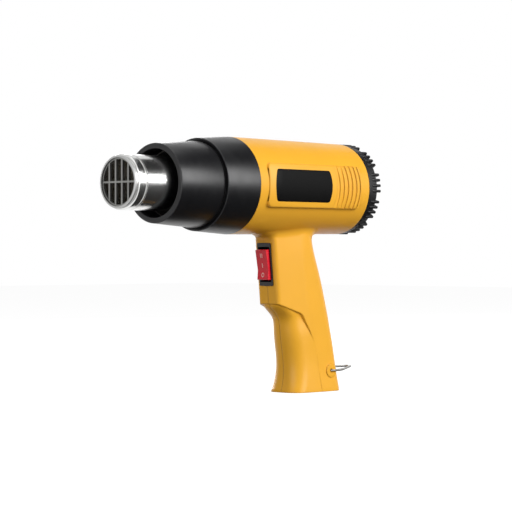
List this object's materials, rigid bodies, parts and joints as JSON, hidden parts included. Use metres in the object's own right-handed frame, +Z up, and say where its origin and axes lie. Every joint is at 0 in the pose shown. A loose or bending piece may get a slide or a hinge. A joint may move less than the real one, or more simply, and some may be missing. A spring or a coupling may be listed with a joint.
{
  "type": "embossing heat tool",
  "caption": "Pistol heat tool that blows hot air from a steel nozzle: two-half plastic housing, rocker switch in the grip, turning rear air intake and a wire hanging loop.",
  "frame": {"origin": "on the blowing axis, in the plane of the nozzle guard's front rim, which lies within the nozzle tube's gauge length", "axes": "+X along the blowing axis, out of the nozzle; +Z up, with the grip hanging down towards -Z; +Y to the left, the side that the picture shows"},
  "size_m": [0.2449, 0.0723, 0.1915],
  "materials": {
    "polished_tube": "polished stainless steel tube",
    "grille_steel": "plain stamped steel",
    "heatproof_black": "satin heat-resistant plastic",
    "intake_black": "satin plastic",
    "housing_yellow": "satin moulded plastic, yellow-orange",
    "plate_black": "satin film, bare",
    "plain_steel": "zinc-plated steel",
    "loop_steel": "drawn wire",
    "mica": "pressed mica",
    "heater_ceramic": "unglazed ceramic",
    "resistance_wire": "oxidised resistance wire",
    "duct_grey": "moulded, glass-filled",
    "ferrite": "sintered",
    "bush_bronze": "sintered bronze",
    "carbon": "pressed carbon",
    "contact_brass": "stamped",
    "circuit_board": "paper laminate",
    "copper_wire": "enamelled copper",
    "switch_black": "satin moulded",
    "rocker_red": "glossy moulded",
    "capacitor_yellow": "moulded box",
    "grommet_rubber": "soft black"
  },
  "bodies": {
    "body": {"nozzle_tube": "polished_tube", "nozzle_grille": "grille_steel", "nozzle_guard": "heatproof_black", "shroud_base": "heatproof_black", "heat_shield": "plain_steel", "heater_flange": "mica", "heater_screws": "plain_steel", "mica_sleeve": "mica", "heater_core": "heater_ceramic", "heating_coils": "resistance_wire", "thermal_cutout": "plain_steel", "fan_duct": "duct_grey", "motor_can": "plain_steel", "motor_magnets": "ferrite", "motor_end_cap": "duct_grey", "motor_bushes": "bush_bronze", "motor_brushes": "carbon", "motor_terminals": "contact_brass", "motor_screws": "plain_steel", "rectifier_board": "circuit_board", "rectifier_diodes": "switch_black", "intake_grille": "intake_black", "cap_screw": "plain_steel", "housing_left": "housing_yellow", "housing_right": "housing_yellow", "nameplate": "plate_black", "barrel_screws": "plain_steel", "handle_screws": "plain_steel", "switch_body": "switch_black", "switch_terminals": "contact_brass", "suppression_capacitor": "capacitor_yellow", "cord_clamp": "switch_black", "cord_clamp_screws": "plain_steel", "inlet_grommet": "grommet_rubber"},
    "fan": {"motor_shaft": "plain_steel", "rotor_core": "plain_steel", "rotor_windings": "copper_wire", "commutator": "copper_wire", "impeller": "duct_grey"},
    "regulator": {"intake_cap": "intake_black"},
    "rocker": {"switch_rocker": "rocker_red"},
    "loop": {"hang_loop": "loop_steel"}
  },
  "joints": [
    {"name": "fan_spin", "type": "hinge", "parent": "body", "child": "fan", "pos_m": [-0.13, 0, 0], "axis": [1, 0, 0], "continuous": true},
    {"name": "regulator_turn", "type": "hinge", "parent": "body", "child": "regulator", "pos_m": [-0.2, 0, 0], "axis": [1, 0, 0], "range_deg": [0, 18]},
    {"name": "switch_rock", "type": "hinge", "parent": "body", "child": "rocker", "pos_m": [-0.1184, 0, -0.05787], "axis": [0, 1, 0], "range_deg": [-12, 12]},
    {"name": "loop_swing", "type": "hinge", "parent": "body", "child": "loop", "pos_m": [-0.1701, 0, -0.1397], "axis": [0, 1, 0], "range_deg": [-45, 60]}
  ]
}
